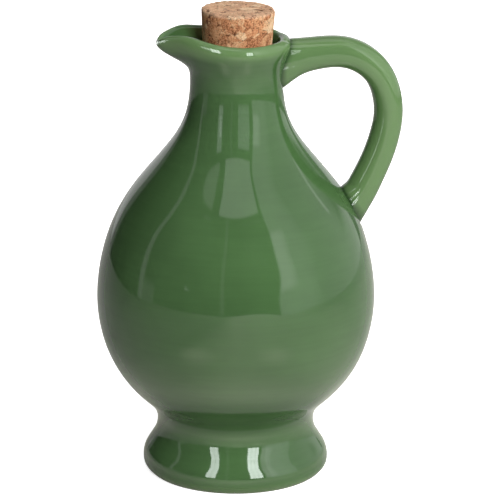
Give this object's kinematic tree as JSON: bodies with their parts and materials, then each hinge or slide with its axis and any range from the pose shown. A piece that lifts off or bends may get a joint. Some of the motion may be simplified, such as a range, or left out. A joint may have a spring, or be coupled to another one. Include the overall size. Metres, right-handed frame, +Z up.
{
  "type": "oil bottle",
  "caption": "Round-bellied glazed ceramic oil bottle with a waisted foot, a slim neck, a pinched pouring lip, a bowed handle and a tapered cork.",
  "frame": {"origin": "centre of the flat underside of the foot, on the axis of the turned body", "axes": "+Z up along the axis of the body, +X towards the handle, -X towards the pouring lip"},
  "size_m": [0.1224, 0.1112, 0.1903],
  "materials": {
    "green_glaze": "glossy mid green glaze, a little darker where it pools",
    "pressed_cork": "matt pressed cork of pale and reddish grains with dark gaps"
  },
  "bodies": {
    "root": {"bottle": "green_glaze", "cork": "pressed_cork"}
  },
  "joints": []
}
